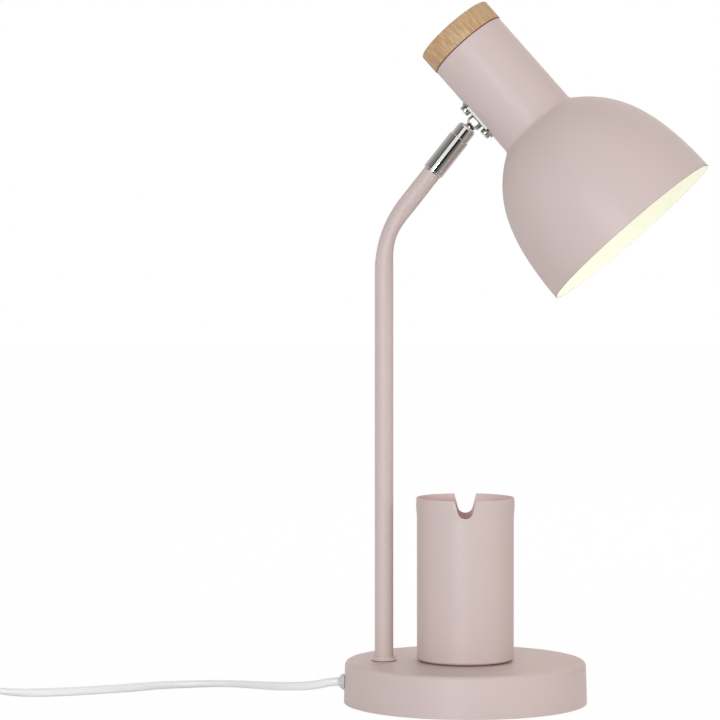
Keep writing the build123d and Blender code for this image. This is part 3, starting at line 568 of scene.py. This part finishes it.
NODE_FINISHES = {
    PINK: ["base_shell", "stem", "shade"],
    PINK_CUP_PAINTED_LIGHT: ["pen_cup"],
    PINK_COLLAR_PAINTED_SHADOW: ["stem_collar"],
    CHROME: ["arm_sleeve", "ball_socket", "joint_plate"],
    NICKEL: ["ball_stud", "plate_screws"],
    STEEL: ["base_plate", "base_screws", "cup_screw", "cup_nut", "stem_nipple", "stem_washer", "stem_nut",
            "socket_clip", "socket_spring", "stud_washer", "stud_nut", "backing_plate",
            "holder_nipple", "holder_nut", "clamp_screw", "switch_screws"],
    CAST: ["base_weight"],
    OAK: ["wood_cap"],
    FOAM: ["foot_pad"],
    SPACER_PAINTED_SHADOW: ["cup_spacer"],
    BUSH: ["cord_grommet", "cord_clamp", "ball_seat"],
    SHEATH: ["cord_inner", "cord_stretch", "cord_link", "cord_coil", "cord_tail"],
    WHITE_PLASTIC: ["switch_base", "switch_cover", "switch_rocker", "plug_body", "holder_cap", "holder_body",
                    "holder_bridge"],
    CORE: ["stem_wires", "head_wires"],
    PIN: ["plug_pins", "holder_contact", "bulb_tip"],
    THREAD: ["bulb_cap"],
    OPAL: ["bulb_glass"],
}


def dress(piece, *materials):
    piece.data.materials.clear()
    for material in materials:
        piece.data.materials.append(material)


def dress_nodes():
    for material, names in NODE_FINISHES.items():
        for name in names:
            dress(nodes[name], material)


# Turned pieces
def arc(center, radius, start, end, steps):
    """Points on an arc, angles in degrees from the first axis."""
    return [(center[0] + radius * cos(radians(start + (end - start) * i / steps)),
             center[1] + radius * sin(radians(start + (end - start) * i / steps))) for i in range(steps + 1)]


def dome_line(inset, steps):
    """Points from the rounded crease over the dome to the mouth, set in by a wall."""
    centers = [(MOUTH, MOUTH_RADIUS - DOME_RADII[0])]
    for turn, outer, nearer in zip(DOME_TURNS, DOME_RADII, DOME_RADII[1:]):
        x, y = centers[-1]
        step = outer - nearer
        centers.append((x - step * sin(radians(turn)), y + step * cos(radians(turn))))
    reach = DOME_RADII[-1] + CREASE_ROUND
    crease = degrees(acos((NECK_RADIUS + CREASE_ROUND - centers[-1][1]) / reach))
    turns = [0, *DOME_TURNS, crease]
    hollow = (centers[-1][0] - reach * sin(radians(crease)), NECK_RADIUS + CREASE_ROUND)
    points = arc(hollow, CREASE_ROUND + inset, -90, crease - 90, CREASE_STEPS)
    for center, radius, low, high in list(zip(centers, DOME_RADII, turns, turns[1:]))[::-1]:
        stretch = arc(center, radius - inset, 90 + high, 90 + low, steps)
        points += stretch[1:]
    return points


def turned(name, outline, place, body, segments, materials, row_starts=()):
    """Spin an outline of (along, radius) points about the place's X; points on the axis close it."""
    bm = bmesh.new()
    rings = []
    for along, radius in outline:
        if radius < TOUCHING:
            rings.append([bm.verts.new(place @ Vector((along, 0, 0)))])
            continue
        rings.append([bm.verts.new(place @ Vector((along, radius * cos(2 * pi * k / segments),
                                                   radius * sin(2 * pi * k / segments))))
                      for k in range(segments)])
    for row, (a, b) in enumerate(zip(rings, rings[1:])):
        slot_index = sum(1 for start in row_starts if row >= start)
        for k in range(segments):
            n = (k + 1) % segments
            corners = [a[k % len(a)], a[n % len(a)], b[n % len(b)], b[k % len(b)]]
            corners = list(dict.fromkeys(corners))
            if len(corners) > 2:
                face = bm.faces.new(corners)
                face.material_index = slot_index
    bmesh.ops.remove_doubles(bm, verts=bm.verts, dist=TOUCHING)
    bmesh.ops.recalc_face_normals(bm, faces=bm.faces)
    mesh = bpy.data.meshes.new(name)
    for material in materials:
        mesh.materials.append(material)
    bm.to_mesh(mesh)
    bm.free()
    return new_object(name, mesh, body)


def sharpen(piece, angle=35.0):
    """Keep crisp edges crisp on a smooth piece."""
    mesh = piece.data
    bm = bmesh.new()
    bm.from_mesh(mesh)
    for edge in bm.edges:
        if len(edge.link_faces) == 2 and edge.calc_face_angle(0.0) > radians(angle):
            edge.smooth = False
    bm.to_mesh(mesh)
    bm.free()


def add_shade():
    """Neck and dome, pink outside and white inside, with a softly rounded mouth edge; the middle of that edge
    is coloured dark as painted shade, and the white inside carries a painted glow.
    """
    outer = dome_line(0, DOME_STEPS)
    inner = dome_line(SHADE_WALL, DOME_STEPS)
    outline = [(NECK_TOP, NECK_RADIUS - SHADE_WALL), (NECK_TOP, NECK_RADIUS)] + outer
    rim_start = len(outline)
    rim_middle = (MOUTH, MOUTH_RADIUS - SHADE_WALL / 2)
    outline += arc(rim_middle, SHADE_WALL / 2, 90, -90, RIM_STEPS)[1:-1]
    inside_start = rim_start + RIM_STEPS // 2
    outline += inner[::-1] + [(NECK_TOP, NECK_RADIUS - SHADE_WALL)]
    materials = (PINK, RIM_PAINTED_SHADE, WHITE_INSIDE_PAINTED_GLOW)
    piece = turned("shade_shell", outline, HEAD, "head", SHADE_SIDES, materials, (rim_start, inside_start))
    sharpen(piece)
    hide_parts("shade")


def add_cap():
    """Wooden cap with softened edges and a small recessed seam above the neck, coloured dark as painted
    shade.
    """
    foot = NECK_TOP
    top = NECK_TOP - CAP_HEIGHT
    seam_top = foot - SEAM_HEIGHT
    outline = [(foot, CAP_INNER), (foot, CAP_RADIUS - SEAM_DEPTH), (seam_top, CAP_RADIUS - SEAM_DEPTH)]
    edge = arc((seam_top - SMALL_ROUND, CAP_RADIUS - SMALL_ROUND), SMALL_ROUND, 0, 90, 4)
    crown = arc((top + CAP_ROUND, CAP_RADIUS - CAP_ROUND), CAP_ROUND, 90, 180, 8)
    outline += edge + crown + [(top, 0)]
    piece = turned("wood_cap_dressed", outline, HEAD, "head", ROUND_SIDES, (OAK, SEAM_PAINTED_SHADE))
    # The seam's faces take the dark brown: painted shade.
    for face in piece.data.polygons:
        station = (HEAD.inverted() @ face.center).x
        face.material_index = 1 if station > seam_top - 0.01 * MM else 0
    sharpen(piece)
    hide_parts("wood_cap")


def stem_line():
    """Stations along the stem's middle: place, direction and how far through the bend, 0 to 1."""
    stations = []
    for i in range(STRAIGHT_STEPS):
        height = STEM_FOOT + (BEND_START - STEM_FOOT) * i / STRAIGHT_STEPS
        stations.append((Vector((STEM_X, 0, height)), 0.0, 0.0))
    for i in range(BEND_STEPS + 1):
        angle = ARM_ANGLE * i / BEND_STEPS
        place = Vector((STEM_X + BEND_RADIUS * (1 - cos(angle)), 0, BEND_START + BEND_RADIUS * sin(angle)))
        stations.append((place, angle, i / BEND_STEPS))
    end = stations[-1][0]
    for reach in (ARM_REACH / 2, ARM_REACH, ARM_REACH + STEM_IN_SLEEVE):
        stations.append((end + arm_line * reach, ARM_ANGLE, 1.0))
    return stations


def add_stem():
    """Bent tube, a little flattened on the inside of its bend."""
    bm = bmesh.new()
    rings = []
    for place, angle, through in stem_line():
        inward = Vector((cos(angle), 0, -sin(angle)))
        flat = sin(pi * through) ** 2
        ring = []
        for k in range(STEM_SIDES):
            turn = 2 * pi * k / STEM_SIDES
            pressed = flat * BEND_FLAT * max(0.0, cos(turn)) ** 1.5
            spread = flat * BEND_SPREAD * abs(sin(turn))
            radius_in = STEM_RADIUS * cos(turn) - pressed
            radius_side = (STEM_RADIUS + spread) * sin(turn)
            ring.append(bm.verts.new(place + inward * radius_in + Vector((0, radius_side, 0))))
        rings.append(ring)
    for a, b in zip(rings, rings[1:]):
        for k in range(STEM_SIDES):
            n = (k + 1) % STEM_SIDES
            bm.faces.new((a[k], a[n], b[n], b[k]))
    bm.faces.new(rings[0])
    bm.faces.new(rings[-1])
    bmesh.ops.recalc_face_normals(bm, faces=bm.faces)
    mesh = bpy.data.meshes.new("stem_tube")
    bm.to_mesh(mesh)
    bm.free()
    piece = new_object("stem_tube", mesh, "root")
    dress(piece, PINK)
    sharpen(piece)
    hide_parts("stem")


def add_arm_end():
    """Polished sleeve and the narrower socket that turns on it."""
    arm_place = place_matrix(SLEEVE_FOOT, arm_line, Vector((0, 1, 0)))
    bore = STEM_RADIUS + STEM_FIT
    low = [(0, SLEEVE_STEP_RADIUS), (SLEEVE_STEP, SLEEVE_STEP_RADIUS)]
    low += arc((SLEEVE_STEP + SMALL_ROUND, SLEEVE_RADIUS - SMALL_ROUND), SMALL_ROUND, 180, 90, 6)
    high = arc((SLEEVE_LENGTH - SLEEVE_ROUND, SLEEVE_RADIUS - SLEEVE_ROUND), SLEEVE_ROUND, 90, 0, 8)
    outline = [(STEM_IN_SLEEVE, 0), (STEM_IN_SLEEVE, bore), (0, bore)] + low + high
    outline += [(SLEEVE_LENGTH, SPIGOT_BORE), (SPIGOT_BORE_FOOT, SPIGOT_BORE), (SPIGOT_BORE_FOOT, 0)]
    sleeve = turned("arm_sleeve_polished", outline, arm_place, "root", ROUND_SIDES, (CHROME,))
    sharpen(sleeve)
    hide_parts("arm_sleeve")
    cavity = arc((BALL_STATION, 0), BALL_CAVITY, 180, 90 - CAVITY_OPENING, CAVITY_STEPS)
    shoulder = [(SOCKET_END - SHOULDER_REACH * (1 - cos(t)), SOCKET_RADIUS - SOCKET_ROUND * (1 - sin(t)))
                for t in [pi / 2 * i / SHOULDER_STEPS for i in range(SHOULDER_STEPS + 1)]]
    seam = SLEEVE_LENGTH + SOCKET_SEAM
    outline = [(BALL_STATION - BALL_CAVITY, 0)] + cavity[1:] + [(SOCKET_END - SOCKET_LIP, SOCKET_MOUTH)]
    outline += shoulder + [(seam, SOCKET_RADIUS), (seam, 0)]
    socket = turned("ball_socket_polished", outline, arm_place, "socket", ROUND_SIDES, (CHROME,))
    sharpen(socket)
    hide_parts("ball_socket")


# Stage
def add_card(name, start, end, colour):
    """A plain card that only reflections show, round the arm's line as seen from the camera."""
    across = Vector((arm_line.z, 0, -arm_line.x))
    corners = []
    for angle in (start, end):
        direction = Vector((0, -cos(radians(angle)), 0)) + across * sin(radians(angle))
        corners.append(ball + direction * CARD_REACH)
    mesh = bpy.data.meshes.new(name)
    half = arm_line * CARD_HALF_LENGTH
    mesh.from_pydata([corners[0] - half, corners[0] + half, corners[1] + half, corners[1] - half],
                     [], [(0, 1, 2, 3)])
    card = bpy.data.objects.new(name, mesh)
    bpy.context.scene.collection.objects.link(card)
    material = bpy.data.materials.new(name)
    material.use_nodes = True
    tree = material.node_tree
    tree.nodes.clear()
    out = tree.nodes.new("ShaderNodeOutputMaterial")
    tone = tree.nodes.new("ShaderNodeEmission")
    tone.inputs["Color"].default_value = (*colour, 1)
    tree.links.new(tone.outputs[0], out.inputs["Surface"])
    mesh.materials.append(material)
    card.visible_camera = False
    card.visible_diffuse = False
    card.visible_shadow = False
    card.visible_transmission = False


def seen_rays(tree):
    """One where the ray is the camera's, a reflection's or a transmission's, else nought."""
    path = tree.nodes.new("ShaderNodeLightPath")
    direct = tree.nodes.new("ShaderNodeMath")
    direct.operation = "MAXIMUM"
    either = tree.nodes.new("ShaderNodeMath")
    either.operation = "MAXIMUM"
    tree.links.new(path.outputs["Is Camera Ray"], direct.inputs[0])
    tree.links.new(path.outputs["Is Glossy Ray"], direct.inputs[1])
    tree.links.new(direct.outputs[0], either.inputs[0])
    tree.links.new(path.outputs["Is Transmission Ray"], either.inputs[1])
    return either.outputs[0]


def add_floor():
    """Plain floor that shows white to the camera, with a trace of the shadow on it."""
    mesh = bpy.data.meshes.new("floor")
    side = FLOOR_REACH
    mesh.from_pydata([(-side, -side, 0), (side, -side, 0), (side, side, 0), (-side, side, 0)],
                     [], [(0, 1, 2, 3)])
    floor = bpy.data.objects.new("floor", mesh)
    bpy.context.scene.collection.objects.link(floor)
    material = bpy.data.materials.new("white_floor")
    material.use_nodes = True
    tree = material.node_tree
    tree.nodes.clear()
    out = tree.nodes.new("ShaderNodeOutputMaterial")
    matte = tree.nodes.new("ShaderNodeBsdfDiffuse")
    matte.inputs["Color"].default_value = (0.8, 0.8, 0.8, 1)
    white = tree.nodes.new("ShaderNodeEmission")
    white.inputs["Strength"].default_value = 1.0
    share = tree.nodes.new("ShaderNodeMath")
    share.operation = "MULTIPLY"
    share.inputs[1].default_value = FLOOR_WHITE
    mix = tree.nodes.new("ShaderNodeMixShader")
    tree.links.new(seen_rays(tree), share.inputs[0])
    tree.links.new(share.outputs[0], mix.inputs["Fac"])
    tree.links.new(matte.outputs[0], mix.inputs[1])
    tree.links.new(white.outputs[0], mix.inputs[2])
    tree.links.new(mix.outputs[0], out.inputs["Surface"])
    mesh.materials.append(material)


def add_world():
    """White to the camera, softer light on the lamp, a little less of it from the left."""
    world = bpy.data.worlds.new("studio")
    bpy.context.scene.world = world
    world.use_nodes = True
    tree = world.node_tree
    light = tree.nodes["Background"]
    light.inputs["Color"].default_value = (1, 0.99, 0.945, 1)
    place = tree.nodes.new("ShaderNodeTexCoord")
    split = tree.nodes.new("ShaderNodeSeparateXYZ")
    left = tree.nodes.new("ShaderNodeMath")
    left.operation = "MINIMUM"
    left.inputs[1].default_value = 0
    level = tree.nodes.new("ShaderNodeMath")
    level.operation = "MULTIPLY_ADD"
    level.inputs[1].default_value = WORLD_LEFT_FALL
    level.inputs[2].default_value = WORLD_LEVEL
    tree.links.new(place.outputs["Generated"], split.inputs[0])
    tree.links.new(split.outputs["X"], left.inputs[0])
    tree.links.new(left.outputs[0], level.inputs[0])
    tree.links.new(level.outputs[0], light.inputs["Strength"])
    white = tree.nodes.new("ShaderNodeBackground")
    white.inputs["Color"].default_value = (1, 1, 1, 1)
    white.inputs["Strength"].default_value = 1.0
    mix = tree.nodes.new("ShaderNodeMixShader")
    tree.links.new(seen_rays(tree), mix.inputs["Fac"])
    tree.links.new(light.outputs[0], mix.inputs[1])
    tree.links.new(white.outputs[0], mix.inputs[2])
    tree.links.new(mix.outputs[0], tree.nodes["World Output"].inputs["Surface"])


def add_light(name, place, aim, size, power, colour=(1, 1, 1), shines=True):
    data = bpy.data.lights.new(name, "AREA")
    data.shape = "RECTANGLE"
    data.size, data.size_y = size
    data.energy = power
    data.color = colour
    light = bpy.data.objects.new(name, data)
    light.location = place
    light.visible_glossy = shines
    direction = Vector(aim) - Vector(place)
    light.rotation_euler = direction.to_track_quat("-Z", "Y").to_euler()
    bpy.context.scene.collection.objects.link(light)


bpy.context.scene.view_settings.view_transform = "Standard"
add_camera()
cords = add_cords()
for cord_piece in cords:
    dress(cord_piece, SHEATH)
add_world()
add_floor()
add_light("front_softbox", (-0.5, -2.3, 0.34), aim=(0, 0, 0.2), size=(0.3, 0.3), power=25.5,
          colour=(0.81, 0.92, 1.0))
add_light("back_softbox", (0.35, 1.3, 1.1), aim=(0, 0, 0.03), size=(1.0, 1.0), power=8.5, shines=False)
add_light("right_softbox", (1.8, -0.9, 0.4), aim=(0, 0, 0.15), size=(0.8, 0.8), power=5)
for card_name, card_start, card_end, card_colour in CARDS:
    add_card(card_name, card_start, card_end, card_colour)
dress_nodes()
add_shade()
add_cap()
add_stem()
add_arm_end()
